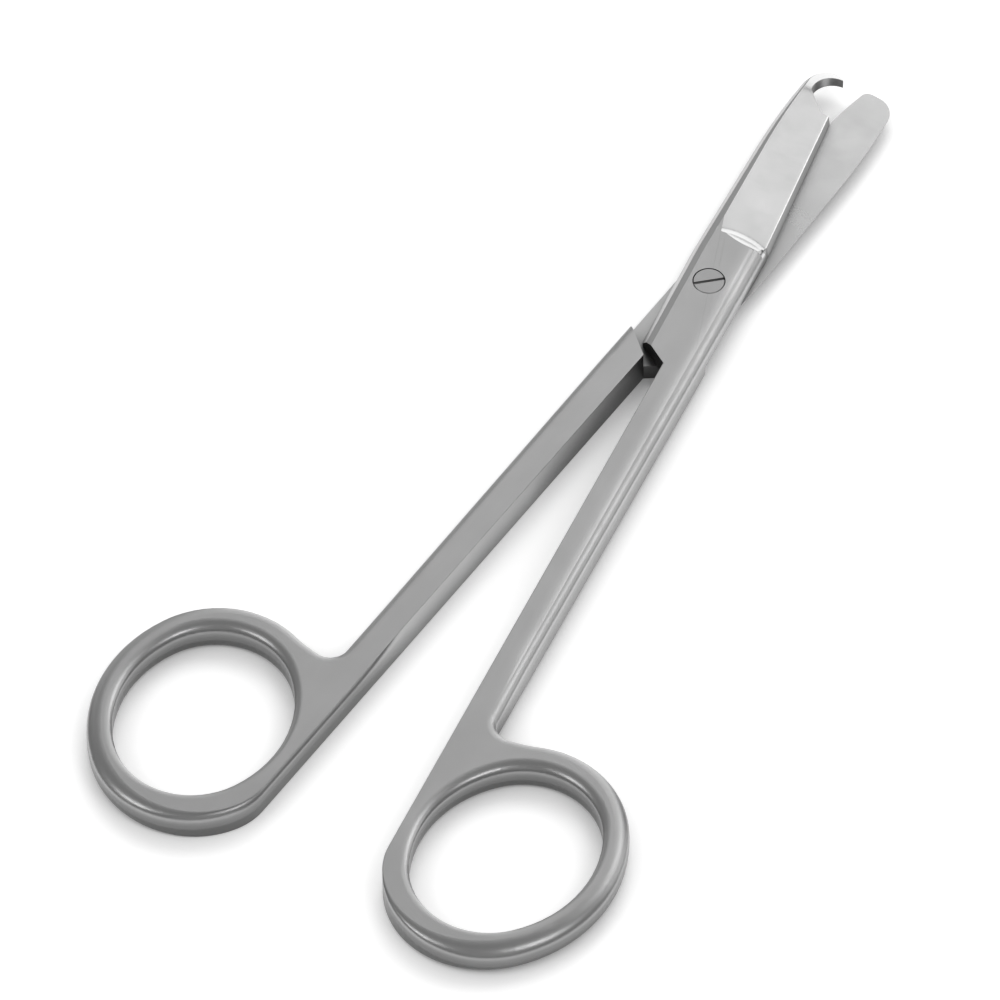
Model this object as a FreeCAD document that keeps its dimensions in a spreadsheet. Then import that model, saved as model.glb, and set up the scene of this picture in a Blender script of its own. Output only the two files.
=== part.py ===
import FreeCAD, Part
import math
import os
import re

import Sketcher
from FreeCAD import Placement, Rotation, Vector

# Suture scissors: two forged halves on one screw, one tip with a stitch hook.
#
# Frame: the origin is on the pivot axis, level with the flat underside. +Y runs forward to the
# tips along the line midway between the halves, +X to the ring of the hooked half, +Z up.
# Each half is drawn in a closed frame of its own: the pivot at the origin, the middle plane of
# the joint at height 0, its ring at +X, its blade in the upper half of the thickness.
# The plain half is the same forging turned over about +Y, with a blunt tip.

# The driving dimensions, in millimetres and degrees.
SIZES = (
    # Lengths along the closed instrument, measured from the pivot.
    ("tip_reach", 37.7),
    ("edge_start", 7.5),
    ("spine_bend", 22.0),
    ("spine_start", 5.0),
    ("swell_reach", 18.0),
    ("shoulder_reach", 13.9),
    ("shoulder_side", 10.7),
    ("ring_reach", 87.2),
    # Lengths measured back from the tip, and forward or back from the ring's centre.
    ("edge_back", 4.3),
    ("spine_back", 2.4),
    ("claw_back", 0.75),
    ("crotch_drop", 1.4),
    ("web_rise", 0.7),
    ("blunt_drop", 0.87),
    ("flat_drop", 7.5),
    # Widths, measured from the closing line of the two halves.
    ("flat_gap", 0.06),
    ("joint_half_width", 4.35),
    ("swell_width", 4.25),
    ("shank_width", 3.9),
    ("spine_mid", 3.9),
    ("spine_tip", 2.75),
    ("edge_tip", 2.62),
    ("tip_middle", 0.05),
    ("plate_overlap", 1.5),
    ("blunt_side", 2.13),
    ("blunt_front", 1.06),
    ("claw_tip", 1.95),
    ("joint_side", 4.1),
    ("spine_radius", 95.0),
    # The finger ring: half the length of its outer oval, how much less half its width is, how
    # far the flat side cuts into it, where the web runs in, and how wide its bar is.
    ("ring_outer_long", 15.7),
    ("ring_squash", 2.35),
    ("flat_cut", 0.85),
    ("web_in", 2.0),
    ("ring_bar_end", 3.2),
    ("ring_bar_side", 2.95),
    ("ring_tilt", 13.2),
    # Thickness and the lap of the joint.
    ("half_thickness", 2.35),
    ("lap_gap_half", 0.02),
    ("shoulder_gap", 0.1),
    # The ground blade.
    ("ground_start", 8.0),
    ("ground_drop", 0.22),
    ("ground_tip", 1.17),
    ("ground_roll", 5.0),
    ("ground_skew", 6.0),
    ("runout_length", 1.4),
    ("runout_rise", 0.8),
    ("runout_radius", 1.6),
    ("edge_bevel", 6.0),
    # The back of the blade, which slopes in from a narrow land, steeply and then less.
    ("spine_land", 0.2),
    ("waist_height", 1.6),
    ("waist_in", 0.85),
    ("waist_slip", 0.1),
    ("facet_in", 1.8),
    ("facet_slip", 0.2),
    ("claw_waist_round", 2.7),
    ("claw_facet_round", 2.4),
    ("tip_waist", 0.5),
    ("tip_waist_round", 2.1),
    ("tip_facet", 1.2),
    ("tip_facet_round", 1.5),
    # Rounded edges and corners.
    ("ring_round", 1.75),
    ("hole_round", 0.95),
    ("flat_edge_round", 0.12),
    ("shank_round", 1.2),
    ("joint_round", 1.9),
    ("crotch_round", 2.2),
    ("web_round", 12.0),
    ("flat_round", 8.0),
    ("corner_round", 0.6),
    ("tip_round", 2.8),
    ("blunt_round", 1.1),
    # The stitch hook, its places along the blade measured back from the tip.
    ("hook_radius", 2.78),
    ("hook_top", 0.92),
    ("hook_depth", 0.97),
    ("hook_floor", 4.0),
    ("hook_lip", 1.75),
    ("hook_mouth", 6.95),
    ("hook_round", 0.5),
    # The pivot screw and its seat.
    ("head_radius", 1.97),
    ("head_height", 1.05),
    ("shoulder_radius", 1.3),
    ("thread_radius", 1.1),
    ("seat_clearance", 0.04),
    ("head_play", 0.02),
    ("slot_half", 0.19),
    ("slot_depth", 0.5),
    ("slot_reach", 2.5),
    ("slot_turn", 41.0),
    ("head_bevel", 0.12),
    ("screw_recess", 0.05),
    # How far the halves stand open as laid down.
    ("rest_opening", 10.4),
)

size = dict(SIZES)
# Two words that an outline may use beside the sizes: the axis itself, and well clear of all.
REACH = 60.0
PLAIN_WORDS = {"none": 0.0, "reach": REACH}
# Two points nearer than this, in millimetres, are taken as one.
NEAR = 0.001
# An oval is drawn with four arcs, and the centres of the arcs make four right triangles with
# sides as 3, 4 and 5. Each measure is then this many times half the oval's length, and this
# many times half its width.
OVAL_SHARES = {
    "meeting point across": (-0.4, 1.2),
    "meeting point along": (1.2, -0.6),
    "side radius": (2.0, -1.0),
    "end radius": (-0.5, 1.5),
}

doc = FreeCAD.newDocument("suture_scissors")
sheet = doc.addObject("Spreadsheet::Sheet", "Dimensions")
for row, (alias, number) in enumerate(SIZES, start=1):
    sheet.set(f"A{row}", alias)
    sheet.set(f"B{row}", str(number))
    sheet.setAlias(f"B{row}", alias)
doc.recompute()


def named(word):
    """The number that one word of a formula stands for."""
    if word in size:
        return size[word]
    return PLAIN_WORDS[word] if word in PLAIN_WORDS else float(word)


def value(formula):
    """The number that a formula of named sizes gives: products, added or taken away."""
    total = 0.0
    for term in re.findall(r"(?:^|[+-] )[^+-]+", formula):
        product = -1.0 if term.startswith("-") else 1.0
        for word in term.strip("+- ").split(" * "):
            product *= named(word)
        total += product
    return total


def bound(formula):
    """The same formula as an expression on the sheet."""
    words = []
    for word in formula.split():
        if word in size:
            words.append("Dimensions." + word)
        elif word in PLAIN_WORDS:
            words.append(str(PLAIN_WORDS[word]))
        else:
            words.append(word)
    return " ".join(words).removeprefix("+ ")


def new_body(name):
    body = doc.addObject("PartDesign::Body", name)
    body.Label = name
    return body


def new_sketch(body, name, role, offset=None):
    sketch = body.newObject("Sketcher::SketchObject", name)
    plane = next(f for f in body.Origin.OriginFeatures if f.Role == role)
    sketch.AttachmentSupport = [(plane, "")]
    sketch.MapMode = "FlatFace"
    if offset is not None:
        sketch.AttachmentOffset = offset
    return sketch


def place_point(sketch, geometry, position, corner, label):
    """Hold one point of the sketch at its place by two sizes from the origin."""
    for axis, formula in zip("XY", corner):
        index = sketch.addConstraint(
            Sketcher.Constraint("Distance" + axis, -1, 1, geometry, position, value(formula))
        )
        sketch.renameConstraint(index, axis.lower() + label)
        sketch.setExpression("Constraints." + axis.lower() + label, bound(formula))


def arc_through(start, end, centre):
    """An arc about the centre from start to end, the short way, and which end comes first."""
    radius = (start - centre).Length
    circle = Part.Circle(centre, Vector(0, 0, 1), radius)
    turn = (start - centre).cross(end - centre).z
    first, last = (start, end) if turn > 0 else (end, start)
    from_angle = math.atan2(first.y - centre.y, first.x - centre.x)
    to_angle = math.atan2(last.y - centre.y, last.x - centre.x)
    if to_angle < from_angle:
        to_angle += 2 * math.pi
    return Part.ArcOfCircle(circle, from_angle, to_angle), turn > 0


def arc_centre(start, end, radius, side):
    """The centre of an arc of this radius; side +1 puts it left of the way from start to end."""
    chord = end - start
    middle = (start + end) * 0.5
    left = Vector(-chord.y, chord.x, 0).normalize()
    rise = math.sqrt(max(radius ** 2 - chord.Length ** 2 / 4, 0.0))
    return middle + left * rise * side


def draw_outline(sketch, corners, arcs=None):
    """A closed outline through the corners.

    arcs maps the number of a stretch to (side, radius formula).
    """
    arcs = arcs or {}
    points = [Vector(value(x), value(y), 0) for x, y in corners]
    ends = []
    for i, start in enumerate(points):
        end = points[(i + 1) % len(points)]
        if i in arcs:
            side, radius = arcs[i]
            centre = arc_centre(start, end, value(radius), side)
            arc, forward = arc_through(start, end, centre)
            index = sketch.addGeometry(arc, False)
            ends.append((index, 1, 2) if forward else (index, 2, 1))
        else:
            index = sketch.addGeometry(Part.LineSegment(start, end), False)
            ends.append((index, 1, 2))
    for i, (index, first, last) in enumerate(ends):
        following = (i + 1) % len(ends)
        next_index, next_first, _ = ends[following]
        sketch.addConstraint(
            Sketcher.Constraint("Coincident", index, last, next_index, next_first)
        )
        if i in arcs:
            formula = arcs[i][1]
            radius = sketch.addConstraint(Sketcher.Constraint("Radius", index, value(formula)))
            sketch.renameConstraint(radius, f"radius{i}")
            sketch.setExpression(f"Constraints.radius{i}", bound(formula))
        place_point(sketch, index, first, corners[i], str(i))


def ring_sketch(body, name):
    """A sketch at the ring's centre, its upright axis leaning outward by the ring's tilt."""
    lean = Rotation(Vector(0, 0, -1), size["ring_tilt"])
    offset = Placement(Vector(value(RING_OFFSET), -size["ring_reach"], 0), lean)
    sketch = new_sketch(body, name, "XY_Plane", offset)
    sketch.setExpression(".AttachmentOffset.Base.x", bound(RING_OFFSET))
    sketch.setExpression(".AttachmentOffset.Base.y", bound("- ring_reach"))
    return sketch


def scaled(factor, formula):
    """A formula with each of its sizes taken this many times."""
    words = []
    sign = 1.0
    for word in formula.split():
        if word in "+-":
            sign = 1.0 if word == "+" else -1.0
        else:
            words.append(f"{'-' if factor * sign < 0 else '+'} {abs(factor)} * {word}")
            sign = 1.0
    return " ".join(words)


def draw_oval(sketch, long_half, short_half):
    """An oval of four arcs that run smoothly into each other."""
    def measure(name, sign=1):
        long_share, short_share = OVAL_SHARES[name]
        return scaled(sign * long_share, long_half) + " " + scaled(sign * short_share, short_half)

    across = measure("meeting point across")
    along = measure("meeting point along")
    back_across = measure("meeting point across", -1)
    back_along = measure("meeting point along", -1)
    corners = [(across, back_along), (across, along), (back_across, along), (back_across, back_along)]
    radii = [measure("side radius"), measure("end radius")] * 2
    draw_outline(sketch, corners, {i: (1, radius) for i, radius in enumerate(radii)})


def thicken(body, sketch, name):
    """Pad a sketch evenly on both sides of the middle plane, to the full thickness."""
    feature = body.newObject("PartDesign::Pad", name)
    feature.Profile = sketch
    feature.SideType = "Symmetric"
    feature.setExpression("Length", "2 * Dimensions.half_thickness")
    doc.recompute()
    return feature


def cut_through(body, sketch, name):
    """Cut a sketch right through on both sides of its plane."""
    feature = body.newObject("PartDesign::Pocket", name)
    feature.Profile = sketch
    feature.SideType = "Symmetric"
    feature.Length = 2 * REACH
    doc.recompute()
    return feature


def cut_side(body, sketch, name, upward, depth=None):
    """Cut a sketch away on one side of its plane, to a named depth or all the way."""
    feature = body.newObject("PartDesign::Pocket", name)
    feature.Profile = sketch
    feature.Reversed = upward
    if depth is None:
        feature.Length = REACH
    else:
        feature.setExpression("Length", bound(depth))
    doc.recompute()
    return feature


def round_corner(body, name, corner, alias):
    """Round the upright edge that stands nearest to a corner of the outline."""
    base = body.Tip
    spot = Vector(value(corner[0]), value(corner[1]), 0)
    best = None
    for number, edge in enumerate(base.Shape.Edges, start=1):
        first, last = edge.firstVertex().Point, edge.lastVertex().Point
        if Vector(first.x - last.x, first.y - last.y, 0).Length > NEAR:
            continue
        away = Vector(first.x - spot.x, first.y - spot.y, 0).Length
        if best is None or away < best[0]:
            best = (away, number)
    feature = body.newObject("PartDesign::Fillet", name)
    feature.Base = (base, [f"Edge{best[1]}"])
    feature.setExpression("Radius", "Dimensions." + alias)
    doc.recompute()
    return feature


# Half the width of the ring, and how far its centre stands out from the closing line.
RING_SHORT = "ring_outer_long - ring_squash"
RING_OFFSET = RING_SHORT + " - flat_cut"

# Places along the blade that are measured back from the tip.
EDGE_END = "tip_reach - edge_back"
SPINE_END = "tip_reach - spine_back"
CLAW_END = "tip_reach - claw_back"

# The back of the blade slopes in level by level. Each level has its height, how far it stands
# in from the outline, and how far its tip end slips back.
LAND = ("lap_gap_half + spine_land", "none", "none")
WAIST = ("waist_height", "waist_in", "waist_slip")
CREST = ("half_thickness", "facet_in", "facet_slip")

# Each tip, for the same three levels: its corners before the round that leads over to the
# spine, and the radius of that round. The blunt tip is also rounded towards its cutting edge.
HOOKED_TIP = (
    ([("claw_tip", CLAW_END)], "tip_round"),
    ([("claw_tip", CLAW_END)], "claw_waist_round"),
    ([("claw_tip", CLAW_END)], "claw_facet_round"),
)
BLUNT_TIP = (
    ([("blunt_front", "tip_reach"), ("tip_middle", "tip_reach")], "tip_round"),
    ([("blunt_front", "tip_reach"), ("tip_middle", "tip_reach - tip_waist")], "tip_waist_round"),
    ([("blunt_front", "tip_reach"), ("tip_middle", "tip_reach - tip_facet")], "tip_facet_round"),
)
BLUNT_CORNER = ("blunt_side", "tip_reach - blunt_drop")


def tip_and_spine(start, tip, level, end, foot="- shoulder_side"):
    """Corners from start over the tip and down the spine to end, and the arcs among them."""
    crown, tip_radius = tip
    _, inset, slip = level
    spine = [
        (f"{inset} - spine_tip", f"{SPINE_END} - {slip}"),
        (f"{inset} - spine_mid", "spine_bend"),
        (f"{inset} - joint_half_width", "spine_start"),
        (f"{inset} - joint_side", foot),
    ]
    first = len(start) + len(crown) - 1
    arcs = {first: (1, tip_radius), first + 1: (1, f"spine_radius - {inset}")}
    return start + crown + spine + end, arcs


# Where the shank meets the web, and the web the ring.
CROTCH_END = "ring_outer_long - crotch_drop - ring_reach"
CROTCH = ("shank_width", CROTCH_END)
WEB = (RING_OFFSET + " - web_in", CROTCH_END + " + web_rise")


def handle(name):
    """The shank, its web and the finger ring, full thickness, with upright sides."""
    body = new_body(name + "_handle")
    outline = new_sketch(body, name + "_shank_outline", "XY_Plane")
    draw_outline(outline, [
        ("flat_gap", "- ring_reach"),
        (RING_OFFSET, "- ring_reach"),
        WEB,
        CROTCH,
        ("swell_width", "- swell_reach"),
        ("joint_half_width", "edge_start"),
        ("flat_gap", "edge_start"),
    ])
    thicken(body, outline, name + "_shank")
    disc = ring_sketch(body, name + "_ring_outline")
    draw_oval(disc, "ring_outer_long", RING_SHORT)
    thicken(body, disc, name + "_ring")
    side = new_sketch(body, name + "_flat_side", "XY_Plane")
    draw_outline(side, [
        ("flat_gap", "- shoulder_reach"),
        ("- reach", "- shoulder_reach"),
        ("- reach", "- ring_reach - reach"),
        ("flat_gap", "- ring_reach - reach"),
    ])
    cut_through(body, side, name + "_flat")
    round_corner(body, name + "_crotch", CROTCH, "crotch_round")
    round_corner(body, name + "_web", WEB, "web_round")
    round_corner(body, name + "_flat_end", ("flat_gap", "- ring_reach - flat_drop"), "flat_round")
    hole = ring_sketch(body, name + "_hole_outline")
    draw_oval(hole, "ring_outer_long - ring_bar_end", RING_SHORT + " - ring_bar_side")
    cut_through(body, hole, name + "_hole")
    return body


def edge_radius(point):
    """How far the long edges of the handle are rounded where they pass a point."""
    centre = Vector(value(RING_OFFSET), -size["ring_reach"], 0)
    crotch = Vector(value(CROTCH[0]), value(CROTCH[1]), 0)
    flat = Vector(point.x, point.y, 0)
    if abs(point.x - size["flat_gap"]) < NEAR:
        return size["flat_edge_round"]
    if point.y > 0:
        return size["joint_round"]
    if (flat - centre).Length < size["ring_outer_long"] - size["ring_bar_end"] + NEAR:
        return size["hole_round"]
    if point.y > crotch.y or (flat - crotch).Length < size["shank_width"]:
        return size["shank_round"]
    return size["ring_round"]


def rounded(body, name):
    """Round the long edges over the top and the bottom of a handle."""
    edges = []
    for number, edge in enumerate(body.Shape.Edges, start=1):
        first, last = edge.firstVertex().Point, edge.lastVertex().Point
        level = size["half_thickness"]
        if abs(abs(first.z + last.z) - 2 * level) > NEAR:
            continue
        front = size["edge_start"] - NEAR
        if first.y > front and last.y > front:
            continue
        edges.append((number, edge_radius(first), edge_radius(last)))
    feature = doc.addObject("Part::Fillet", name)
    feature.Base = body
    feature.Edges = edges
    doc.recompute()
    return feature


def raise_to_lap(sketch):
    """Lift a sketch from the middle plane to the face where the halves lap."""
    sketch.setExpression(".AttachmentOffset.Base.z", "Dimensions.lap_gap_half")


def blade_plate(body, name, tip):
    """The upper half of the thickness: the joint cheek and the blade, up to the tip."""
    outline = new_sketch(body, name + "_blade_outline", "XY_Plane")
    raise_to_lap(outline)
    start = [
        ("plate_overlap", "- shoulder_reach"),
        ("plate_overlap", "edge_start"),
        ("joint_half_width", "edge_start"),
        ("edge_tip", EDGE_END),
    ]
    if tip is BLUNT_TIP:
        start.append(BLUNT_CORNER)
    end = [("flat_gap", "- shoulder_reach")]
    corners, arcs = tip_and_spine(start, tip[0], LAND, end)
    if tip is BLUNT_TIP:
        arcs[start.index(BLUNT_CORNER)] = (1, "blunt_round")
    draw_outline(outline, corners, arcs)
    plate = body.newObject("PartDesign::Pad", name + "_blade")
    plate.Profile = outline
    plate.setExpression("Length", "Dimensions.half_thickness - Dimensions.lap_gap_half")
    doc.recompute()
    round_corner(body, name + "_shoulder_corner", corners[-2], "corner_round")


def spine_slope(body, name, tip):
    """Slope the back of the blade in two facets, above a narrow upright land."""
    edge = tip[0][0][0][0]
    outside = [("- reach", "- shoulder_reach"), ("- reach", "reach"), (edge, "reach")]
    sections = []
    for number, (level, crown) in enumerate(zip((LAND, WAIST, CREST), tip), start=1):
        sketch = new_sketch(body, f"{name}_{number}", "XY_Plane")
        sketch.setExpression(".AttachmentOffset.Base.z", bound(level[0]))
        corners, arcs = tip_and_spine([], crown, level, outside, foot="- shoulder_reach")
        draw_outline(sketch, corners, arcs)
        sections.append(sketch)
    feature = body.newObject("PartDesign::SubtractiveLoft", name)
    feature.Profile = sections[0]
    feature.Sections = sections[1:]
    feature.Ruled = True
    doc.recompute()
    return feature


def lap_recess(body, name):
    """Clear the lower half of the thickness in front of the slanting shoulder."""
    outline = new_sketch(body, name + "_recess_outline", "XY_Plane")
    raise_to_lap(outline)
    draw_outline(outline, [
        ("flat_gap", "- shoulder_reach - shoulder_gap"),
        ("joint_side", "- shoulder_side - shoulder_gap"),
        ("reach", "- shoulder_side - shoulder_gap"),
        ("reach", "reach"),
        ("- reach", "reach"),
        ("- reach", "- shoulder_reach - shoulder_gap"),
    ])
    return cut_side(body, outline, name + "_recess", upward=False)


def ground_face(body, name):
    """Grind the blade down from the wheel's run-out in front of the joint to the tip."""
    skew = Rotation(Vector(0, 1, 0), -size["ground_skew"])
    roll = Rotation(Vector(1, 0, 0), size["ground_roll"])
    offset = Placement(Vector(0, 0, 0), skew * roll)
    profile = new_sketch(body, name + "_grind_profile", "YZ_Plane", offset)
    corners = [
        ("ground_start - runout_length", "half_thickness - ground_drop + runout_rise"),
        ("ground_start", "half_thickness - ground_drop"),
        ("tip_reach", "ground_tip"),
        ("tip_reach + joint_side", "ground_tip"),
        ("tip_reach + joint_side", "reach"),
        ("ground_start - runout_length", "reach"),
    ]
    draw_outline(profile, corners, {0: (1, "runout_radius")})
    return cut_through(body, profile, name + "_grind")


def cutting_bevel(body, name):
    """Lean the wall of the cutting edge back from the edge."""
    outline = new_sketch(body, name + "_bevel_outline", "XY_Plane")
    raise_to_lap(outline)
    draw_outline(outline, [
        ("joint_half_width", "edge_start"),
        ("reach", "edge_start"),
        ("reach", "reach"),
        ("edge_tip", "reach"),
        ("edge_tip", EDGE_END),
    ])
    feature = cut_side(body, outline, name + "_bevel", upward=True, depth="half_thickness")
    feature.setExpression("TaperAngle", "Dimensions.edge_bevel")
    doc.recompute()
    return feature


def stitch_hook(body, name):
    """Cut the crescent that slips under a stitch, leaving a claw at the tip."""
    outline = new_sketch(body, name + "_hook_outline", "XY_Plane")
    corners = [
        ("claw_tip", "tip_reach - hook_top"),
        ("- hook_depth", "tip_reach - hook_floor"),
        ("hook_lip", "tip_reach - hook_mouth"),
        ("reach", "tip_reach - hook_mouth"),
        ("reach", "tip_reach - hook_top"),
    ]
    draw_outline(outline, corners, {0: (1, "hook_radius")})
    cut_through(body, outline, name + "_hook")
    round_corner(body, name + "_hook_floor", corners[1], "hook_round")


def round_hole(body, name, radius, depth=None):
    """A round hole on the pivot axis, through the half or down from its top face."""
    sketch = new_sketch(body, name + "_outline", "XY_Plane")
    circle = Part.Circle(Vector(0, 0, 0), Vector(0, 0, 1), value(radius))
    index = sketch.addGeometry(circle, False)
    sketch.addConstraint(Sketcher.Constraint("Coincident", index, 3, -1, 1))
    width = sketch.addConstraint(Sketcher.Constraint("Radius", index, value(radius)))
    sketch.renameConstraint(width, "radius")
    sketch.setExpression("Constraints.radius", bound(radius))
    if depth is None:
        return cut_through(body, sketch, name)
    sketch.setExpression(".AttachmentOffset.Base.z", "Dimensions.half_thickness")
    return cut_side(body, sketch, name, upward=False, depth=depth)


def turned(angle, flipped):
    """Where a half lies: turned about the pivot, the lower one first turned over."""
    lift = Vector(0, 0, size["half_thickness"])
    turn = Rotation(Vector(0, 0, 1), angle)
    if flipped:
        turn = turn * Rotation(Vector(0, 1, 0), 180)
    return Placement(lift, turn)


def half(name, tip):
    """One forged half up to its joint and ground blade."""
    grip = handle(name)
    soft = rounded(grip, name + "_rounded")
    body = new_body(name)
    body.BaseFeature = soft
    doc.recompute()
    blade_plate(body, name, tip)
    spine_slope(body, name + "_spine", tip)
    lap_recess(body, name)
    ground_face(body, name)
    cutting_bevel(body, name)
    return body


def hook_blade_half():
    """The upper half, with the stitch hook at its tip and the seat of the screw's head."""
    body = half("hook_blade_half", HOOKED_TIP)
    stitch_hook(body, "stitch")
    round_hole(body, "head_seat", "head_radius + seat_clearance", "head_height + head_play")
    round_hole(body, "pivot_bore", "shoulder_radius + seat_clearance")
    body.Placement = turned(size["rest_opening"] / 2, flipped=False)
    return body


def plain_blade_half():
    """The lower half, the same forging turned over, with a blunt tip and a threaded hole."""
    body = half("plain_blade_half", BLUNT_TIP)
    round_hole(body, "thread_bore", "thread_radius")
    body.Placement = turned(-size["rest_opening"] / 2, flipped=True)
    return body


def pivot_screw():
    """The slotted screw, its head flush with the top, its end just short of the underside."""
    body = new_body("pivot_screw")
    profile = new_sketch(body, "screw_profile", "XZ_Plane")
    top = "half_thickness + half_thickness"
    lap = "half_thickness - lap_gap_half"
    draw_outline(profile, [
        ("none", "screw_recess"),
        ("thread_radius", "screw_recess"),
        ("thread_radius", lap),
        ("shoulder_radius", lap),
        ("shoulder_radius", top + " - head_height"),
        ("head_radius", top + " - head_height"),
        ("head_radius", top + " - head_bevel"),
        ("head_radius - head_bevel", top),
        ("none", top),
    ])
    turning = body.newObject("PartDesign::Revolution", "screw_turning")
    turning.Profile = profile
    turning.ReferenceAxis = (profile, ["V_Axis"])
    turning.Angle = 360
    doc.recompute()
    turn = Placement(Vector(0, 0, 0), Rotation(Vector(0, 0, 1), size["slot_turn"]))
    slot = new_sketch(body, "slot_outline", "XY_Plane", turn)
    slot.setExpression(".AttachmentOffset.Base.z", "2 * Dimensions.half_thickness")
    draw_outline(slot, [
        ("- slot_reach", "- slot_half"),
        ("slot_reach", "- slot_half"),
        ("slot_reach", "slot_half"),
        ("- slot_reach", "slot_half"),
    ])
    cut_side(body, slot, "slot", upward=False, depth="slot_depth")
    return body


def check_and_write(parts):
    """Refuse a failed object or an unsound shape, then write each part by its label."""
    for item in doc.Objects:
        if "Invalid" in item.State or "Error" in item.State:
            raise RuntimeError(f"{item.Label} failed: {item.State}")
    for part in parts:
        if part.Shape.isNull() or not part.Shape.isValid():
            raise RuntimeError(f"{part.Label} has no sound shape")
        if len(part.Shape.Solids) != 1:
            raise RuntimeError(f"{part.Label} is not one solid")
    os.makedirs("parts", exist_ok=True)
    for part in parts:
        part.Shape.exportStep(f"parts/{part.Label}.step")
        print(part.Label, round(part.Shape.Volume, 3), "mm3", len(part.Shape.Faces), "faces")


def main():
    parts = [hook_blade_half(), plain_blade_half(), pivot_screw()]
    doc.recompute()
    check_and_write(parts)


main()
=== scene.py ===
import math

import bpy
from bpy.props import FloatProperty, FloatVectorProperty, PointerProperty
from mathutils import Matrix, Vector

bl_info = {
    "name": "Suture scissors",
    "version": (1, 0, 0),
    "blender": (4, 5, 0),
    "location": "View3D > Sidebar > Scissors",
    "description": "Dresses the packed suture scissors in satin and ground steel, on a white table",
    "category": "Object",
}

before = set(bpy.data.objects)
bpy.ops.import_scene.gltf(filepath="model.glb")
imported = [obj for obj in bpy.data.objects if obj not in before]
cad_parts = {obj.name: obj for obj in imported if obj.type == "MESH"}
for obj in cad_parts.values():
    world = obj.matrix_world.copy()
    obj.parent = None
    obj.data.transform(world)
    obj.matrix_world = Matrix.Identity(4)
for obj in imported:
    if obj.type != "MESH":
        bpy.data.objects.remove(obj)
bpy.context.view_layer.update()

MM = 0.001
# How far each half is turned from the closed position as the scissors lie, in degrees.
HALF_OPENING = 5.2
# The middle plane of the joint above the table.
LAP_HEIGHT = 2.35 * MM
# The ground face of a blade in the closed frame of its half: its height over the pivot, and how
# much it falls for each unit outward and each unit forward.
GROUND_HEIGHT = 2.398 * MM
GROUND_FALL_OUT = 0.0904
GROUND_FALL_FORWARD = 0.0231
# The run-out that the grinding wheel leaves across the blade in front of the joint: how askew
# it lies, in degrees, and the middle and half width of its band in front of the pivot.
GROUND_SKEW = 6.0
RUNOUT_MIDDLE = 7.6 * MM
RUNOUT_HALF_WIDTH = 0.45 * MM
# From the run-out to beyond the tip.
BLADE_LENGTH = 36.0 * MM
# The flat top of the joint, from side to side.
TOP_SIDES = (-2.5 * MM, 5.0 * MM)
# The cutting edge: which way it faces, as its shares outward and forward, and how far out it is.
EDGE_FACING = (0.9978, 0.0667, 0.0)
EDGE_PLACE = 4.84 * MM
# Where finishing has softened a flat towards its rim: what is measured, where the softening
# starts, how far it goes on, and the radius that it is worn to. A negative length goes on
# backwards, and a negative radius rises where the others fall.
SIDE_SOFTENED = ("across", 1.4 * MM, 1.6 * MM, 3.4 * MM)
EDGE_SOFTENED = ("to_edge", EDGE_PLACE - 0.5 * MM, 0.5 * MM, 1.9 * MM)
TIP_SOFTENED = ("forward", 32.8 * MM, 5.0 * MM, 14.0 * MM)
RUNOUT_SOFTENED = ("bowed", 8.95 * MM, -0.9 * MM, -4.0 * MM)
# The softened edge of the run-out is bowed: the middle of the bow, and how far the edge falls
# back on both sides of it, in metres for each square metre.
BOW_MIDDLE = 1.25 * MM
BOW_RISE = 62.0
# How much flatter finishing has worn the rounded rims towards their tops.
RIM_WORN = 0.9
# The cutting side of the blade, where the walls are honed: how far out and forward it starts,
# and how steeply the honing leans, as the rise for each unit outward.
HONED_FROM = (-1.2 * MM, 8.2 * MM)
HONED_LEAN = 0.75
# How little a wall faces up or down, as the upward share of its normal.
WALL_FACING = 0.35
# The lap face of the joint above the middle plane.
LAP_GAP = 0.02 * MM
# How near in height to the ground face, and to a level one, a place counts as lying on it.
GROUND_NEAR = 0.03 * MM
LEVEL_NEAR = 0.01 * MM
# The middle of the finger ring in the closed frame, how near to it fingers rub the steel, and how
# much smoother they leave it.
RING_CENTRE = (12.5 * MM, -87.2 * MM, 0.0)
RING_RUBBED = (11.0 * MM, 13.5 * MM)
RUBBED_SMOOTHER = 0.03
# How far the ring's bar is taken as fully round, where the model has roundings and a flat.
BAR_ROUND = 0.8
HEAD_RADIUS = 1.97 * MM

# Painted shade in recesses: how near another surface has to be to count, how open to the air a
# place is where its painted shade is darkest and where it ends, and how many rays measure that.
PAINTED_SHADE_REACH = 7.0 * MM
PAINTED_SHADE_OPEN = (0.15, 0.95)
PAINTED_SHADE_RAYS = 6
# Where the bar of a ring turns under, away from the light, as shares of its half height, and how
# dark the painted shade grows there, where the darkest painted shade is 1.
BAR_TURNS_UNDER = (0.7, 0.1)
BAR_PAINTED_SHADE = 0.75
# Over which stretch forward of the pivot the lap face grows smoother, and its share of the ground
# finish at both ends.
LAP_POLISHED = (8.0 * MM, 32.0 * MM)
LAP_SHARE = (0.25, 0.85)
# Over which stretch the ring and its web pass into the shank.
SHANK_FROM = (-75.0 * MM, -60.0 * MM)

# The width of a brush line and of a grinding scratch, as a share of its length.
BRUSH_STRETCH = 0.06
SCRATCH_STRETCH = 0.05
# How much each texture changes the roughness, from its smoothest places to its roughest.
CLOUD_ROUGHNESS = 0.08
BRUSH_ROUGHNESS = 0.06
SCRATCH_ROUGHNESS = 0.10
TURNING_ROUGHNESS = 0.06
# The share of brushing in the satin's relief, and the depth of the scratches next to it.
BRUSHED_SHARE = 0.4
SCRATCH_DEPTH = 0.35
# How unevenly the lathe's rings run on the screw.
TURNING_UNEVEN = 1.5

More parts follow.
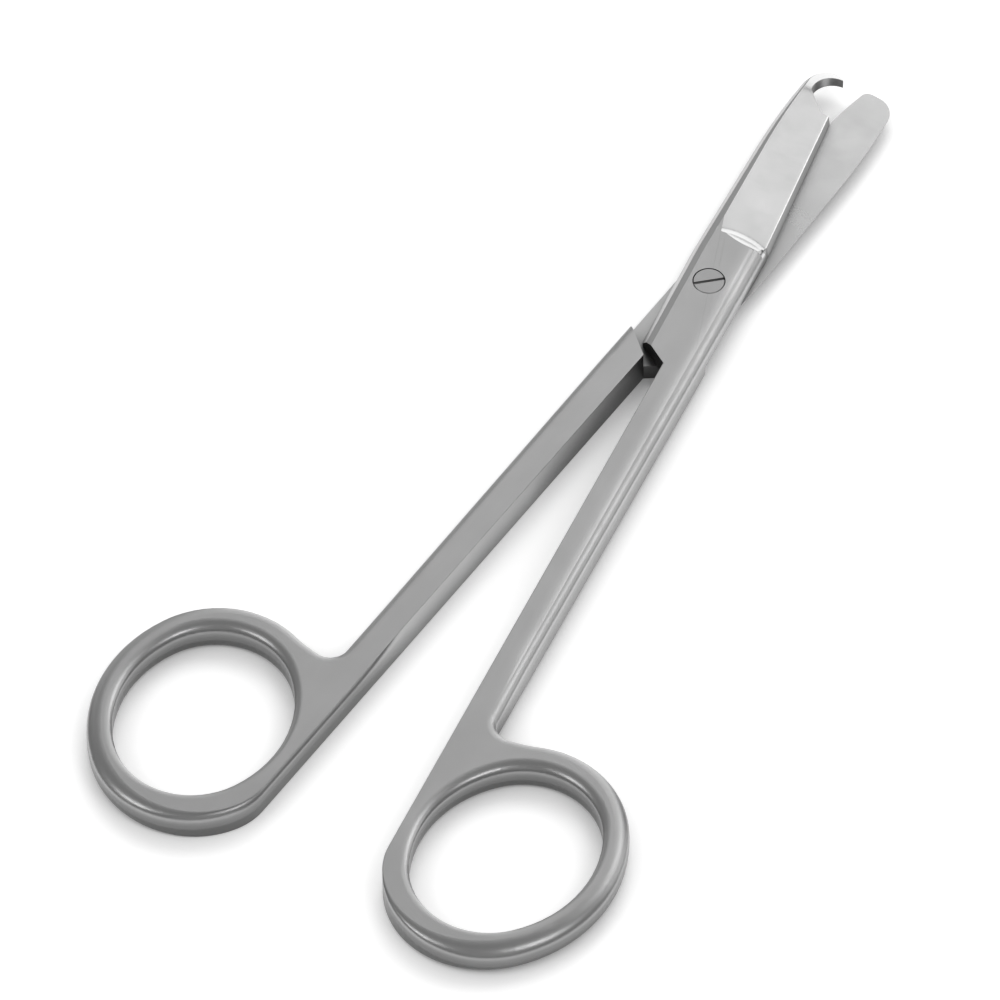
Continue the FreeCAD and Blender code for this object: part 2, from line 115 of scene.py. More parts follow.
# The photograph's camera: the point it faces, which way it stands from there, and how far.
CAMERA_TARGET = Vector((-6.28, -40.19, 2.35)) * MM
CAMERA_DIRECTION = Vector((0.3044, -0.5367, 0.7870))
CAMERA_DISTANCE = 1159.25 * MM
SENSOR_WIDTH = 36.0
# How far the table top lies under the scissors, so that the two never share a plane.
TABLE_GAP = 0.02 * MM
# How far from the steel its painted contact shadow reaches on the table, and how many rays measure
# it.
PAINTED_SHADOW_REACH = 7.5 * MM
PAINTED_SHADOW_RAYS = 8
TABLE_ROUGHNESS = 0.7
WHITE = (1.0, 1.0, 1.0, 1.0)
# The softboxes: each with its name, the setting of its brightness, its place and its size in
# metres, and whether the metal shows it. The table lamp only throws the soft shadows.
SOFTBOXES = (
    ("overhead_softbox", "overhead_level", (-0.22, 0.68, 0.96), (0.75, 0.36), True),
    ("right_softbox", "right_level", (0.24, 0.68, 0.92), (0.36, 0.36), True),
    ("side_softbox", "side_level", (0.72, 0.80, 0.62), (0.55, 0.75), True),
    ("rear_softbox", "rear_level", (-0.43, 1.33, 0.54), (0.80, 1.10), True),
    ("left_softbox", "left_level", (-1.05, 0.62, 0.55), (0.60, 0.80), True),
    ("front_right_softbox", "front_right_level", (0.68, -0.20, 0.97), (0.38, 0.38), True),
    ("front_left_softbox", "front_left_level", (-0.49, -0.64, 0.89), (0.42, 0.42), True),
    ("front_softbox", "front_level", (0.90, -1.30, 1.05), (1.60, 1.00), True),
    ("table_lamp", "table_lamp_level", (-0.25, 0.52, 1.05), (0.50, 0.50), False),
)


def linear(code):
    """A colour written as sRGB hex, as the linear numbers that shaders work in."""
    parts = [int(code[i:i + 2], 16) / 255 for i in (1, 3, 5)]
    values = [c / 12.92 if c <= 0.04045 else ((c + 0.055) / 1.055) ** 2.4 for c in parts]
    return (*values, 1.0)


class SteelFinish(bpy.types.PropertyGroup):
    """Colours and textures of the steel"""
    satin_colour: FloatVectorProperty(
        name="Satin steel", description="Reflected colour of the satin forging",
        subtype="COLOR", size=4, min=0.0, max=1.0, default=linear("#C0C0C0"))
    dull_colour: FloatVectorProperty(
        name="Dull steel", description="Reflected colour of the satin in its duller patches",
        subtype="COLOR", size=4, min=0.0, max=1.0, default=linear("#B7B7B7"))
    ground_colour: FloatVectorProperty(
        name="Ground steel", description="Reflected colour where the wheel has ground the blade",
        subtype="COLOR", size=4, min=0.0, max=1.0, default=linear("#EAEAEA"))
    screw_colour: FloatVectorProperty(
        name="Screw steel", description="Reflected colour of the turned screw",
        subtype="COLOR", size=4, min=0.0, max=1.0, default=linear("#ADADAD"))
    # Painted shade: the colour that the steel is darkened to in corners and under the ring bars.
    painted_shade_colour: FloatVectorProperty(
        name="Steel in recesses", description="Reflected colour in corners that nothing polishes",
        subtype="COLOR", size=4, min=0.0, max=1.0, default=linear("#545454"))
    satin_roughness: FloatProperty(
        name="Satin roughness", description="Roughness of the fine blasted and brushed surface",
        subtype="FACTOR", min=0.0, max=1.0, default=0.34)
    ground_roughness: FloatProperty(
        name="Ground roughness", description="Roughness of the polished blade faces",
        subtype="FACTOR", min=0.0, max=1.0, default=0.18)
    screw_roughness: FloatProperty(
        name="Screw roughness", description="Roughness of the turned and faced screw head",
        subtype="FACTOR", min=0.0, max=1.0, default=0.33)
    patch_size: FloatProperty(
        name="Cloudy patches", description="Width of the patches where the satin is duller",
        subtype="DISTANCE", unit="LENGTH", min=0.0001, default=7.0 * MM)
    grit_size: FloatProperty(
        name="Blast grit", description="Width of the dimples that fine blasting leaves",
        subtype="DISTANCE", unit="LENGTH", min=0.00001, default=0.3 * MM)
    brush_pitch: FloatProperty(
        name="Brush pitch", description="Distance between the brush's lengthwise lines",
        subtype="DISTANCE", unit="LENGTH", min=0.00001, default=0.35 * MM)
    scratch_pitch: FloatProperty(
        name="Grinding pitch", description="Distance between the wheel's fine scratches",
        subtype="DISTANCE", unit="LENGTH", min=0.00001, default=0.4 * MM)
    relief_depth: FloatProperty(
        name="Texture depth", description="Depth of the blasted and brushed texture",
        subtype="DISTANCE", unit="LENGTH", min=0.0, precision=6, default=0.001 * MM)
    turning_pitch: FloatProperty(
        name="Turning pitch", description="Distance between the lathe tool's rings on the screw",
        subtype="DISTANCE", unit="LENGTH", min=0.00001, default=0.16 * MM)


class StudioLayout(bpy.types.PropertyGroup):
    """Table, lights and lens"""
    table_colour: FloatVectorProperty(
        name="Table", description="Colour of the white table",
        subtype="COLOR", size=4, min=0.0, max=1.0, default=linear("#E6E6E6"))
    table_lift: FloatProperty(
        name="Table lift", description="White added to the table as the camera and metal see it",
        min=0.0, max=1.0, default=0.70)
    table_width: FloatProperty(
        name="Table width", description="Side of the square table top",
        subtype="DISTANCE", unit="LENGTH", min=0.5, default=4.0)
    focal_length: FloatProperty(
        name="Focal length", description="Lens of the camera, in millimetres",
        subtype="DISTANCE_CAMERA", min=20.0, default=350.1)
    room_level: FloatProperty(
        name="Room", description="Brightness of the room around the table",
        min=0.0, max=2.0, default=0.26)
    overhead_level: FloatProperty(
        name="Overhead softbox", description="Brightness of the softbox beyond the tips",
        min=0.0, max=6.0, default=0.74)
    right_level: FloatProperty(
        name="Right softbox", description="Brightness of the softbox at the back right",
        min=0.0, max=6.0, default=2.0)
    side_level: FloatProperty(
        name="Side softbox", description="Brightness of the low softbox at the right",
        min=0.0, max=6.0, default=0.75)
    rear_level: FloatProperty(
        name="Rear softbox", description="Brightness of the low softbox beyond the tips",
        min=0.0, max=6.0, default=1.2)
    left_level: FloatProperty(
        name="Left softbox", description="Brightness of the softbox at the left",
        min=0.0, max=6.0, default=0.3)
    front_right_level: FloatProperty(
        name="Front right softbox", description="Brightness of the small softbox at the front right",
        min=0.0, max=6.0, default=2.6)
    front_left_level: FloatProperty(
        name="Front left softbox", description="Brightness of the small softbox at the front left",
        min=0.0, max=6.0, default=2.2)
    front_level: FloatProperty(
        name="Front softbox", description="Brightness of the large dim softbox at the front",
        min=0.0, max=6.0, default=0.12)
    table_lamp_level: FloatProperty(
        name="Table lamp", description="Brightness of the lamp that lights the table alone",
        min=0.0, max=20.0, default=3.5)


def add_node(tree, kind, settings=None, inputs=None):
    """One node with its settings, each input given its value or the socket that feeds it."""
    node = tree.nodes.new(kind)
    for name, setting in (settings or {}).items():
        setattr(node, name, setting)
    for key, given in (inputs or {}).items():
        if isinstance(given, bpy.types.NodeSocket):
            tree.links.new(given, node.inputs[key])
        else:
            node.inputs[key].default_value = given
    return node


def new_material(name):
    """An empty node material with its shader and output."""
    material = bpy.data.materials.new(name)
    material.use_nodes = True
    tree = material.node_tree
    tree.nodes.clear()
    shader = add_node(tree, "ShaderNodeBsdfPrincipled")
    add_node(tree, "ShaderNodeOutputMaterial", inputs={"Surface": shader.outputs["BSDF"]})
    return material, tree, shader


def closed_place(tree, flipped):
    """Places on a half as it lies when the scissors are closed, its middle plane at height 0."""
    coords = add_node(tree, "ShaderNodeTexCoord")
    place = add_node(tree, "ShaderNodeMapping", {"vector_type": "POINT"}, {
        "Vector": coords.outputs["Object"],
        "Rotation": (0.0, math.pi if flipped else 0.0, -math.radians(HALF_OPENING)),
        "Location": (0.0, 0.0, LAP_HEIGHT if flipped else -LAP_HEIGHT),
    })
    return place.outputs[0]


def measured(tree, place):
    """How far a place lies across, forward, up and towards the cutting edge of its half."""
    skew = math.radians(GROUND_SKEW)
    measures = {}
    for name, direction in (
        ("across", (1.0, 0.0, 0.0)),
        ("forward", (0.0, 1.0, 0.0)),
        ("height", (0.0, 0.0, 1.0)),
        ("slope", (GROUND_FALL_OUT, GROUND_FALL_FORWARD, 1.0)),
        ("askew", (math.sin(skew), math.cos(skew), 0.0)),
        ("to_edge", EDGE_FACING),
    ):
        measure = add_node(tree, "ShaderNodeVectorMath", {"operation": "DOT_PRODUCT"},
                           {0: place, 1: direction})
        measures[name] = measure.outputs["Value"]
    beside = add_node(tree, "ShaderNodeMath", {"operation": "SUBTRACT"}, {
        0: measures["across"], 1: BOW_MIDDLE})
    beside = add_node(tree, "ShaderNodeMath", {"operation": "MULTIPLY"}, {
        0: beside.outputs[0], 1: beside.outputs[0]})
    bowed = add_node(tree, "ShaderNodeMath", {"operation": "MULTIPLY_ADD"}, {
        0: beside.outputs[0], 1: BOW_RISE, 2: measures["askew"]})
    measures["bowed"] = bowed.outputs[0]
    return measures


def band_masks(tree, measures):
    """Masks of the bands that the ground and lapped faces lie in, each 1 inside its band.

    The face is at the ground face's height, the blade is forward of the run-out, sunk is lower
    than the joint's flat top, and top lies between that top's sides.
    """
    masks = {}
    for name, measure, low, high in (
        ("face", "slope", GROUND_HEIGHT - GROUND_NEAR, GROUND_HEIGHT + GROUND_NEAR),
        ("blade", "askew", RUNOUT_MIDDLE, RUNOUT_MIDDLE + BLADE_LENGTH),
        ("runout", "askew", RUNOUT_MIDDLE - RUNOUT_HALF_WIDTH, RUNOUT_MIDDLE + RUNOUT_HALF_WIDTH),
        ("sunk", "height", LAP_HEIGHT / 2, LAP_HEIGHT - LEVEL_NEAR),
        ("top", "across", *TOP_SIDES),
        ("lap", "height", LAP_GAP - LEVEL_NEAR, LAP_GAP + LEVEL_NEAR),
    ):
        band = add_node(tree, "ShaderNodeMath", {"operation": "COMPARE"}, {
            0: measures[measure], 1: (low + high) / 2, 2: (high - low) / 2})
        masks[name] = band.outputs[0]
    return masks


def ground_shares(tree, measures, masks):
    """Where the wheel has ground a half, and how much of the ground finish each place has."""
    wheel = 0.0
    for bands in (("face", "blade"), ("runout", "sunk", "top")):
        inside = 1.0
        for band in bands:
            both = add_node(tree, "ShaderNodeMath", {"operation": "MULTIPLY"}, {
                0: inside, 1: masks[band]})
            inside = both.outputs[0]
        either = add_node(tree, "ShaderNodeMath", {"operation": "MAXIMUM"}, {
            0: wheel, 1: inside})
        wheel = either.outputs[0]
    lapped = add_node(tree, "ShaderNodeMapRange", {"interpolation_type": "SMOOTHSTEP"}, {
        "Value": measures["forward"], "From Min": LAP_POLISHED[0], "From Max": LAP_POLISHED[1],
        "To Min": LAP_SHARE[0], "To Max": LAP_SHARE[1]})
    lapped = add_node(tree, "ShaderNodeMath", {"operation": "MULTIPLY"}, {
        0: masks["lap"], 1: lapped.outputs[0]})
    ground = add_node(tree, "ShaderNodeMath", {"operation": "MAXIMUM"}, {
        0: lapped.outputs[0], 1: wheel})
    return wheel, ground.outputs[0]


def fine_textures(tree, place):
    """Noise patterns, each with its width, its stretch, its turn in degrees and its detail."""
    finish = bpy.context.scene.steel_finish
    textures = {}
    for texture, width, stretch, turn, detail in (
        ("cloud", finish.patch_size, (1.0, 1.0, 1.0), 0.0, 3.0),
        ("brushing", finish.brush_pitch, (1.0, BRUSH_STRETCH, 1.0), 0.0, 1.0),
        ("grit", finish.grit_size, (1.0, 1.0, 1.0), 0.0, 1.0),
        ("scratches", finish.scratch_pitch, (SCRATCH_STRETCH, 1.0, 1.0), -GROUND_SKEW, 1.0),
    ):
        drawn = add_node(tree, "ShaderNodeMapping", inputs={
            "Vector": place, "Rotation": (0.0, 0.0, math.radians(turn)), "Scale": stretch})
        pattern = add_node(tree, "ShaderNodeTexNoise", inputs={
            "Vector": drawn.outputs[0], "Scale": 1 / width, "Detail": detail})
        textures[texture] = pattern.outputs["Fac"]
    return textures


def painted_shade_share(tree, rise, in_ring, wheel):
    """Where shade is painted on the steel: in corners, and under the bars of the rings."""
    open_air = add_node(tree, "ShaderNodeAmbientOcclusion", {"samples": PAINTED_SHADE_RAYS}, {
        "Distance": PAINTED_SHADE_REACH})
    corner = add_node(tree, "ShaderNodeMapRange", {"interpolation_type": "SMOOTHSTEP"}, {
        "Value": open_air.outputs["AO"], "From Min": PAINTED_SHADE_OPEN[0], "From Max": PAINTED_SHADE_OPEN[1],
        "To Min": 1.0, "To Max": 0.0})
    under = add_node(tree, "ShaderNodeMapRange", {"interpolation_type": "SMOOTHSTEP"}, {
        "Value": rise, "From Min": BAR_TURNS_UNDER[0], "From Max": BAR_TURNS_UNDER[1],
        "To Max": BAR_PAINTED_SHADE})
    under = add_node(tree, "ShaderNodeMath", {"operation": "MULTIPLY"}, {
        0: under.outputs[0], 1: in_ring})
    painted_shade = add_node(tree, "ShaderNodeMath", {"operation": "MAXIMUM"}, {
        0: corner.outputs[0], 1: under.outputs[0]})
    painted_shade = add_node(tree, "ShaderNodeMath", {"operation": "SUBTRACT", "use_clamp": True}, {
        0: painted_shade.outputs[0], 1: wheel})
    return painted_shade.outputs[0]


def steel_colour(tree, cloud, ground, painted_shade):
    """Satin in two tones, brighter where it is ground, and darker where shade is painted in recesses
    and under the ring bars.
    """
    finish = bpy.context.scene.steel_finish
    satin = add_node(tree, "ShaderNodeMix", {"data_type": "RGBA"}, {
        0: cloud, 6: finish.satin_colour, 7: finish.dull_colour})
    bright = add_node(tree, "ShaderNodeMix", {"data_type": "RGBA"}, {
        0: cloud, 6: finish.ground_colour, 7: finish.satin_colour})
    colour = add_node(tree, "ShaderNodeMix", {"data_type": "RGBA"}, {
        0: ground, 6: satin.outputs[2], 7: bright.outputs[2]})
    # Painted shade: mixes towards the shade colour where corners and ring undersides are darkened.
    colour = add_node(tree, "ShaderNodeMix", {"data_type": "RGBA"}, {
        0: painted_shade, 6: colour.outputs[2], 7: finish.painted_shade_colour})
    return colour.outputs[2]


def steel_roughness(tree, place, textures, ground):
    """Dull satin, a little smoother where fingers rub the ring, and sleek where it is ground."""
    finish = bpy.context.scene.steel_finish
    from_ring = add_node(tree, "ShaderNodeVectorMath", {"operation": "DISTANCE"},
                         {0: place, 1: RING_CENTRE})
    rubbed = add_node(tree, "ShaderNodeMapRange", {"interpolation_type": "SMOOTHSTEP"}, {
        "Value": from_ring.outputs["Value"], "From Min": RING_RUBBED[0],
        "From Max": RING_RUBBED[1], "To Min": -RUBBED_SMOOTHER, "To Max": 0.0})
    smoothest = finish.satin_roughness - (CLOUD_ROUGHNESS + BRUSH_ROUGHNESS) / 2
    dull = add_node(tree, "ShaderNodeMath", {"operation": "MULTIPLY_ADD"}, {
        0: textures["cloud"], 1: CLOUD_ROUGHNESS, 2: smoothest})
    dull = add_node(tree, "ShaderNodeMath", {"operation": "MULTIPLY_ADD"}, {
        0: textures["brushing"], 1: BRUSH_ROUGHNESS, 2: dull.outputs[0]})
    dull = add_node(tree, "ShaderNodeMath", {"operation": "ADD"}, {
        0: dull.outputs[0], 1: rubbed.outputs[0]})
    sleek = add_node(tree, "ShaderNodeMath", {"operation": "MULTIPLY_ADD"}, {
        0: textures["scratches"], 1: SCRATCH_ROUGHNESS,
        2: finish.ground_roughness - SCRATCH_ROUGHNESS / 2})
    roughness = add_node(tree, "ShaderNodeMix", {"data_type": "FLOAT"}, {
        0: ground, 2: dull.outputs[0], 3: sleek.outputs[0]})
    return roughness.outputs[0]


def texture_height(tree, textures, ground):
    """Height of the blasted and brushed texture, or of the scratches where a face is ground."""
    blasted = add_node(tree, "ShaderNodeMix", {"data_type": "FLOAT"}, {
        0: BRUSHED_SHARE, 2: textures["grit"], 3: textures["brushing"]})
    lines = add_node(tree, "ShaderNodeMath", {"operation": "MULTIPLY"}, {
        0: textures["scratches"], 1: SCRATCH_DEPTH})
    texture = add_node(tree, "ShaderNodeMix", {"data_type": "FLOAT"}, {
        0: ground, 2: blasted.outputs[0], 3: lines.outputs[0]})
    height = add_node(tree, "ShaderNodeMath", {"operation": "MULTIPLY"}, {
        0: texture.outputs[0], 1: bpy.context.scene.steel_finish.relief_depth})
    return height.outputs[0]


def softened_height(tree, height, measures, masks, ground, softened):
    """The height, let down towards the rims that finishing has softened.

    The ground face is softened at three of its rims. The rims that a half names itself are on
    its shank and joint, outside the ground and lapped faces.
    """
    shank = add_node(tree, "ShaderNodeMapRange", {"interpolation_type": "SMOOTHSTEP"}, {
        "Value": measures["forward"], "From Min": SHANK_FROM[0], "From Max": SHANK_FROM[1]})
    unground = shank.outputs[0]
    for finished in (ground, masks["lap"]):
        left = add_node(tree, "ShaderNodeMath", {"operation": "SUBTRACT", "use_clamp": True}, {
            0: unground, 1: finished})
        unground = left.outputs[0]
    for (measure, start, length, radius), mask in (
        *((rim, unground) for rim in softened),
        (EDGE_SOFTENED, masks["face"]),
        (TIP_SOFTENED, masks["face"]),
        (RUNOUT_SOFTENED, masks["face"]),
    ):
        past = add_node(tree, "ShaderNodeMapRange", inputs={
            "Value": measures[measure], "From Min": start, "From Max": start + length,
            "To Min": 0.0, "To Max": length})
        worn = add_node(tree, "ShaderNodeMath", {"operation": "MULTIPLY"}, {
            0: past.outputs[0], 1: past.outputs[0]})
        worn = add_node(tree, "ShaderNodeMath", {"operation": "MULTIPLY"}, {
            0: worn.outputs[0], 1: mask})
        worn = add_node(tree, "ShaderNodeMath", {"operation": "MULTIPLY_ADD"}, {
            0: worn.outputs[0], 1: -0.5 / radius, 2: height})
        height = worn.outputs[0]
    return height


def honed_normal(tree, height, measures, flipped):
    """The normal with the relief of the height, leaning up where a cutting wall is honed."""
    surface = add_node(tree, "ShaderNodeNewGeometry")
    facing = add_node(tree, "ShaderNodeSeparateXYZ", inputs={0: surface.outputs["True Normal"]})
    wall = add_node(tree, "ShaderNodeMath", {"operation": "COMPARE"}, {
        0: facing.outputs["Z"], 1: 0.0, 2: WALL_FACING})
    honed = wall.outputs[0]
    for measure, least in zip(("across", "forward"), HONED_FROM):
        beyond = add_node(tree, "ShaderNodeMath", {"operation": "GREATER_THAN"}, {
            0: measures[measure], 1: least})
        beyond = add_node(tree, "ShaderNodeMath", {"operation": "MULTIPLY"}, {
            0: honed, 1: beyond.outputs[0]})
        honed = beyond.outputs[0]
    lean = add_node(tree, "ShaderNodeMath", {"operation": "MULTIPLY"}, {
        0: honed, 1: -HONED_LEAN if flipped else HONED_LEAN})
    upward = add_node(tree, "ShaderNodeCombineXYZ", inputs={"Z": lean.outputs[0]})
    relief = add_node(tree, "ShaderNodeBump", inputs={"Height": height, "Distance": 1.0})
    normal = add_node(tree, "ShaderNodeVectorMath", {"operation": "ADD"}, {
        0: relief.outputs["Normal"], 1: upward.outputs[0]})
    return normal.outputs[0]


def round_bar_normal(tree, rise):
    """The normal of a fully round bar: its rise gives the upward part, its side the rest."""
    surface = add_node(tree, "ShaderNodeNewGeometry")
    outward = add_node(tree, "ShaderNodeVectorMath", {"operation": "MULTIPLY"}, {
        0: surface.outputs["Normal"], 1: (1.0, 1.0, 0.0)})
    outward = add_node(tree, "ShaderNodeVectorMath", {"operation": "NORMALIZE"}, {
        0: outward.outputs[0]})
    share = add_node(tree, "ShaderNodeMath", {"operation": "MULTIPLY"}, {0: rise, 1: rise})
    share = add_node(tree, "ShaderNodeMath", {"operation": "SUBTRACT", "use_clamp": True}, {
        0: 1.0, 1: share.outputs[0]})
    share = add_node(tree, "ShaderNodeMath", {"operation": "SQRT"}, {0: share.outputs[0]})
    outward = add_node(tree, "ShaderNodeVectorMath", {"operation": "SCALE"}, {
        0: outward.outputs[0], "Scale": share.outputs[0]})
    straight_up = add_node(tree, "ShaderNodeCombineXYZ", inputs={"Z": rise})
    normal = add_node(tree, "ShaderNodeVectorMath", {"operation": "ADD"}, {
        0: outward.outputs[0], 1: straight_up.outputs[0]})
    return normal.outputs[0]


def worn_normal(tree, normal, wheel):
    """The normal, turned further up the more it faces up, except where the wheel has ground."""
    upright = add_node(tree, "ShaderNodeSeparateXYZ", inputs={0: normal})
    upright = add_node(tree, "ShaderNodeMath", {"operation": "MAXIMUM"}, {
        0: upright.outputs["Z"], 1: 0.0})
    worn = add_node(tree, "ShaderNodeMath", {"operation": "MULTIPLY"}, {
        0: upright.outputs[0], 1: upright.outputs[0]})
    unground = add_node(tree, "ShaderNodeMath", {"operation": "MULTIPLY_ADD"}, {
        0: wheel, 1: -RIM_WORN, 2: RIM_WORN})
    worn = add_node(tree, "ShaderNodeMath", {"operation": "MULTIPLY"}, {
        0: worn.outputs[0], 1: unground.outputs[0]})
    flatter = add_node(tree, "ShaderNodeCombineXYZ", inputs={"Z": worn.outputs[0]})
    turned = add_node(tree, "ShaderNodeVectorMath", {"operation": "ADD"}, {
        0: normal, 1: flatter.outputs[0]})
    turned = add_node(tree, "ShaderNodeVectorMath", {"operation": "NORMALIZE"}, {
        0: turned.outputs[0]})
    return turned.outputs[0]


def stainless_half(name, flipped, softened):
    """Hardened stainless steel: a forging blasted and brushed to a satin, with a ground blade.

    The satin gives a soft even sheen with faint duller patches and lengthwise brushing, and
    fingers have rubbed the inside of the ring a little smoother. The ground faces are smoother
    and brighter, with hair-fine scratches across the blade, and the lap face is lapped smooth
    towards the tip. The grit and the scratches of the real surface are too fine to show, so
    they are drawn a few times coarser and shallow.
    """
    material, tree, shader = new_material(name)
    place = closed_place(tree, flipped)
    measures = measured(tree, place)
    masks = band_masks(tree, measures)
    wheel, ground = ground_shares(tree, measures, masks)
    textures = fine_textures(tree, place)
    in_ring = add_node(tree, "ShaderNodeMapRange", {"interpolation_type": "SMOOTHSTEP"}, {
        "Value": measures["forward"], "From Min": SHANK_FROM[0], "From Max": SHANK_FROM[1],
        "To Min": BAR_ROUND, "To Max": 0.0}).outputs[0]
    # How high a place lies over the middle plane as the scissors lie, 1 at the top of the bar.
    rise = add_node(tree, "ShaderNodeMath", {"operation": "MULTIPLY"}, {
        0: measures["height"], 1: (-1 if flipped else 1) / LAP_HEIGHT}).outputs[0]

    # Painted shade: how far the colour is darkened in corners and under the ring bars.
    painted_shade = painted_shade_share(tree, rise, in_ring, wheel)
    height = texture_height(tree, textures, ground)
    height = softened_height(tree, height, measures, masks, ground, softened)
    normal = honed_normal(tree, height, measures, flipped)
    normal = add_node(tree, "ShaderNodeMix", {"data_type": "VECTOR"}, {
        0: in_ring, 4: normal, 5: round_bar_normal(tree, rise)})
    for socket, given in (
        ("Base Color", steel_colour(tree, textures["cloud"], ground, painted_shade)),
        ("Roughness", steel_roughness(tree, place, textures, ground)),
        ("Normal", worn_normal(tree, normal.outputs[1], wheel)),
    ):
        tree.links.new(given, shader.inputs[socket])
    shader.inputs["Metallic"].default_value = 1.0
    return material


def turned_screw():
    """Stainless steel turned on a lathe and faced, which shows fine rings about the axis."""
    finish = bpy.context.scene.steel_finish
    material, tree, shader = new_material("turned_stainless_screw")
    place = add_node(tree, "ShaderNodeTexCoord").outputs["Object"]
    # At a scale of one, the rings of the wave pattern lie a tenth of pi apart.
    rings = add_node(tree, "ShaderNodeTexWave", {
        "wave_type": "RINGS", "rings_direction": "Z", "wave_profile": "SIN"}, {
        "Vector": place, "Scale": math.pi / 10 / finish.turning_pitch,
        "Distortion": TURNING_UNEVEN, "Detail": 2.0})
    cloud = add_node(tree, "ShaderNodeTexNoise", inputs={
        "Vector": place, "Scale": 1 / HEAD_RADIUS, "Detail": 3.0})
    colour = add_node(tree, "ShaderNodeMix", {"data_type": "RGBA"}, {
        0: cloud.outputs["Fac"], 6: finish.screw_colour, 7: finish.dull_colour})
    roughness = add_node(tree, "ShaderNodeMath", {"operation": "MULTIPLY_ADD"}, {
        0: rings.outputs["Fac"], 1: TURNING_ROUGHNESS,
        2: finish.screw_roughness - TURNING_ROUGHNESS / 2})
    relief = add_node(tree, "ShaderNodeBump", inputs={
        "Height": rings.outputs["Fac"], "Distance": finish.relief_depth / 2})
    for socket, given in (
        ("Base Color", colour.outputs[2]),
        ("Roughness", roughness.outputs[0]),
        ("Normal", relief.outputs["Normal"]),
    ):
        tree.links.new(given, shader.inputs[socket])
    shader.inputs["Metallic"].default_value = 1.0
    return material


def dress(node, material):
    """Give a CAD node its finish, in every slot of its mesh."""
    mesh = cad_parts[node].data
    mesh.materials.clear()
    mesh.materials.append(material)


class SCISSORS_OT_hooked_half(bpy.types.Operator):
    """Finish the upper half, with the stitch hook"""
    bl_idname = "scissors.hooked_half"
    bl_label = "Hooked half"

    def execute(self, context):
        steel = stainless_half("satin_stainless_hooked_half", False, (SIDE_SOFTENED,))
        dress("hook_blade_half", steel)
        return {"FINISHED"}


class SCISSORS_OT_plain_half(bpy.types.Operator):
    """Finish the lower half, with the blunt tip"""
    bl_idname = "scissors.plain_half"
    bl_label = "Plain half"

    def execute(self, context):
        steel = stainless_half("satin_stainless_plain_half", True, ())
        dress("plain_blade_half", steel)
        return {"FINISHED"}


class SCISSORS_OT_pivot_screw(bpy.types.Operator):
    """Finish the slotted screw"""
    bl_idname = "scissors.pivot_screw"
    bl_label = "Pivot screw"

    def execute(self, context):
        dress("pivot_screw", turned_screw())
        return {"FINISHED"}


def table_material():
    """White laminate with a matt face: plain white, with soft shadows where a part covers it and a
    painted contact shadow where its white lift fades near the steel.
    """
    studio = bpy.context.scene.studio_layout
    material, tree, shader = new_material("matt_white_laminate")
    rays = add_node(tree, "ShaderNodeLightPath")
    seen = rays.outputs["Is Camera Ray"]
    for ray in ("Is Glossy Ray", "Is Transmission Ray"):
        either = add_node(tree, "ShaderNodeMath", {"operation": "MAXIMUM"},
                          {0: seen, 1: rays.outputs[ray]})
        seen = either.outputs[0]
    open_air = add_node(tree, "ShaderNodeAmbientOcclusion", {"samples": PAINTED_SHADOW_RAYS}, {
        "Distance": PAINTED_SHADOW_REACH})
    # Painted contact shadow: the white lift fades where the table is closed in by the steel.
    lift = add_node(tree, "ShaderNodeMath", {"operation": "MULTIPLY"},
                    {0: open_air.outputs["AO"], 1: studio.table_lift})
    lift = add_node(tree, "ShaderNodeMath", {"operation": "MULTIPLY"},
                    {0: seen, 1: lift.outputs[0]})
    tree.links.new(lift.outputs[0], shader.inputs["Emission Strength"])
    shader.inputs["Emission Color"].default_value = WHITE
    shader.inputs["Base Color"].default_value = studio.table_colour
    shader.inputs["Roughness"].default_value = TABLE_ROUGHNESS
    return material


def lay_table(width):
    """A square table top just under the scissors."""
    half = width / 2
    mesh = bpy.data.meshes.new("table")
    corners = [(x * half, y * half, -TABLE_GAP) for x, y in ((-1, -1), (1, -1), (1, 1), (-1, 1))]
    mesh.from_pydata(corners, [], [(0, 1, 2, 3)])
    mesh.materials.append(table_material())
    table = bpy.data.objects.new("table", mesh)
    bpy.context.scene.collection.objects.link(table)


def aim(thing, target):
    """Turn a lamp or camera to face a point."""
    thing.rotation_euler = (target - thing.location).to_track_quat("-Z", "Y").to_euler()


def softbox(name, place, size, in_metal, level):
    """A rectangular softbox that faces the joint, as bright to the eye as its level says."""
    light = bpy.data.lights.new(name, "AREA")
    light.shape = "RECTANGLE"
    light.size, light.size_y = size
    light.energy = level * math.pi * size[0] * size[1]
    lamp = bpy.data.objects.new(name, light)
    bpy.context.scene.collection.objects.link(lamp)
    lamp.location = place
    lamp.visible_glossy = in_metal
    aim(lamp, Vector((0.0, 0.0, 0.0)))


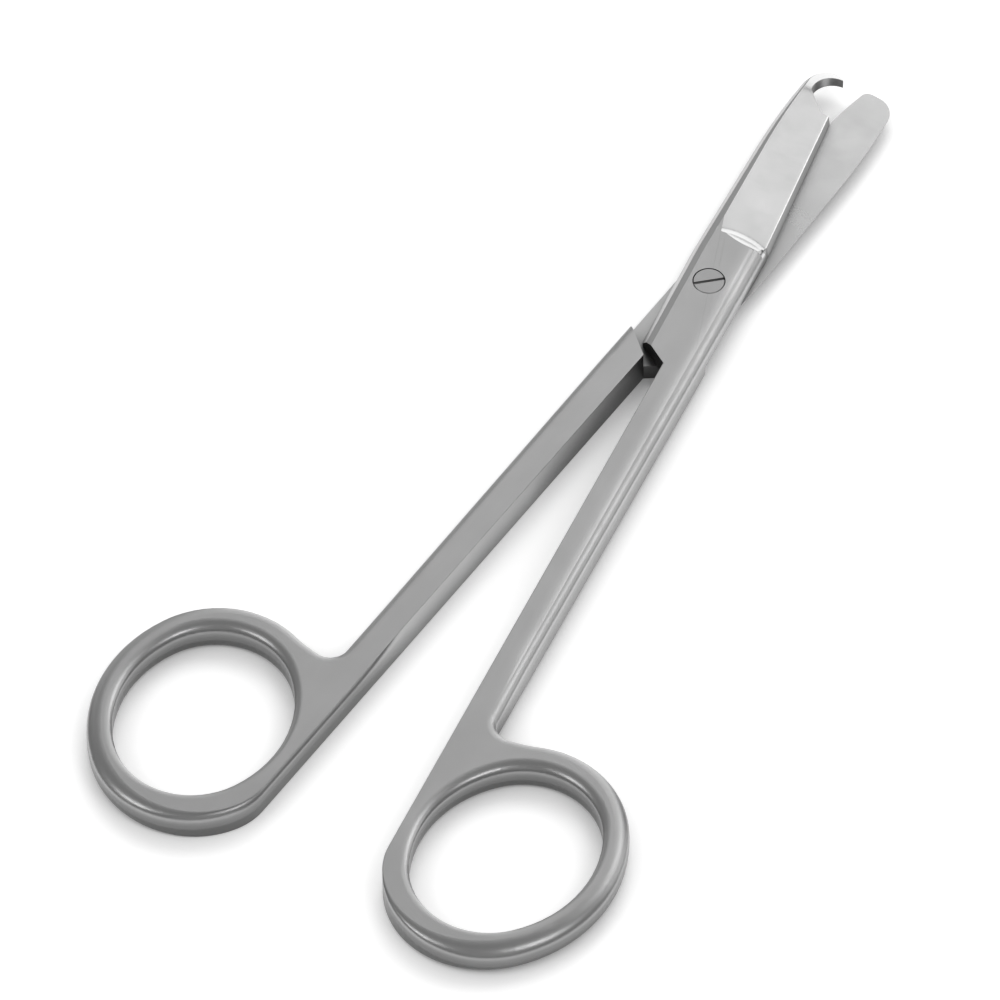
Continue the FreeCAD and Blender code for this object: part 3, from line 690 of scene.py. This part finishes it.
def set_camera(focal_length):
    """The camera of the photograph: nearly over the rings, looking forward along the scissors."""
    data = bpy.data.cameras.new("camera")
    data.lens = focal_length
    data.sensor_width = SENSOR_WIDTH
    camera = bpy.data.objects.new("camera", data)
    bpy.context.scene.collection.objects.link(camera)
    camera.location = CAMERA_TARGET + CAMERA_DIRECTION.normalized() * CAMERA_DISTANCE
    aim(camera, CAMERA_TARGET)
    bpy.context.scene.camera = camera


class SCISSORS_OT_studio(bpy.types.Operator):
    """Lay the table, hang the softboxes and set the camera at the photograph's angle"""
    bl_idname = "scissors.studio"
    bl_label = "Studio"

    def execute(self, context):
        scene = context.scene
        studio = scene.studio_layout
        lay_table(studio.table_width)
        world = bpy.data.worlds.new("studio_room")
        world.use_nodes = True
        room = world.node_tree.nodes["Background"]
        room.inputs["Color"].default_value = WHITE
        room.inputs["Strength"].default_value = studio.room_level
        scene.world = world
        for name, level, place, size, in_metal in SOFTBOXES:
            softbox(name, place, size, in_metal, getattr(studio, level))
        set_camera(studio.focal_length)
        scene.view_settings.view_transform = "Standard"
        return {"FINISHED"}


class SCISSORS_PT_panel(bpy.types.Panel):
    """Lists the pieces, the finish and the studio"""
    bl_idname = "SCISSORS_PT_panel"
    bl_label = "Suture scissors"
    bl_space_type = "VIEW_3D"
    bl_region_type = "UI"
    bl_category = "Scissors"

    def draw(self, context):
        layout = self.layout
        for operator in STEPS:
            layout.operator(operator.bl_idname)
        for group in (context.scene.steel_finish, context.scene.studio_layout):
            for name in type(group).__annotations__:
                layout.prop(group, name)


STEPS = (
    SCISSORS_OT_hooked_half,
    SCISSORS_OT_plain_half,
    SCISSORS_OT_pivot_screw,
    SCISSORS_OT_studio,
)
CLASSES = (SteelFinish, StudioLayout, *STEPS, SCISSORS_PT_panel)


def register():
    for kind in CLASSES:
        bpy.utils.register_class(kind)
    bpy.types.Scene.steel_finish = PointerProperty(type=SteelFinish)
    bpy.types.Scene.studio_layout = PointerProperty(type=StudioLayout)


def unregister():
    del bpy.types.Scene.studio_layout
    del bpy.types.Scene.steel_finish
    for kind in reversed(CLASSES):
        bpy.utils.unregister_class(kind)


def main():
    register()
    bpy.ops.scissors.hooked_half()
    bpy.ops.scissors.plain_half()
    bpy.ops.scissors.pivot_screw()
    bpy.ops.scissors.studio()


if __name__ == "__main__":
    main()
